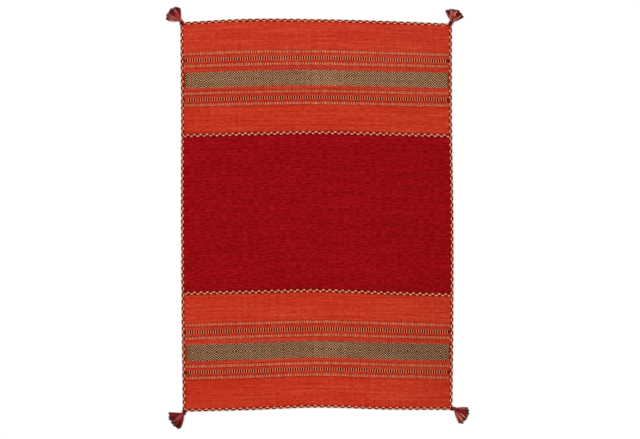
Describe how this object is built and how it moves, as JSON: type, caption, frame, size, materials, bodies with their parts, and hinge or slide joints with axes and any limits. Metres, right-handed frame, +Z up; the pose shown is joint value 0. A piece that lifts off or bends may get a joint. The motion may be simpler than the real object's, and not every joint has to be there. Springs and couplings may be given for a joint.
{
  "type": "flat-woven kilim rug",
  "caption": "Rectangular flat-woven kilim rug lying flat, with a braid round its edges, braids across its face and a yarn tassel at each corner.",
  "frame": {"origin": "on the floor under the middle of the cloth, on its underside", "axes": "+Y along the rug towards its top end, +X across it to the right, +Z up out of its face"},
  "size_m": [1.7945, 2.4959, 0.011],
  "materials": {
    "woven_field": "weft-faced flat weave in matt wool, orange ends and dark red centre with woven bands of cream, dark brown and orange",
    "edge_braid": "two rows of thick yarn stitches, cream and dark brown in turn",
    "cross_braid": "two rows of thick yarn stitches, cream and dark brown in turn, lying on the cloth",
    "tassel": "loose wine red yarn with lighter red and tan strands, tied at the neck"
  },
  "bodies": {
    "root": {"field": "woven_field", "edge_braid_top": "edge_braid", "edge_braid_bottom": "edge_braid", "edge_braid_left": "edge_braid", "edge_braid_right": "edge_braid", "cross_braid_top": "cross_braid", "cross_braid_bottom": "cross_braid", "tassel_top_left": "tassel", "tassel_top_right": "tassel", "tassel_bottom_left": "tassel", "tassel_bottom_right": "tassel"}
  },
  "joints": []
}
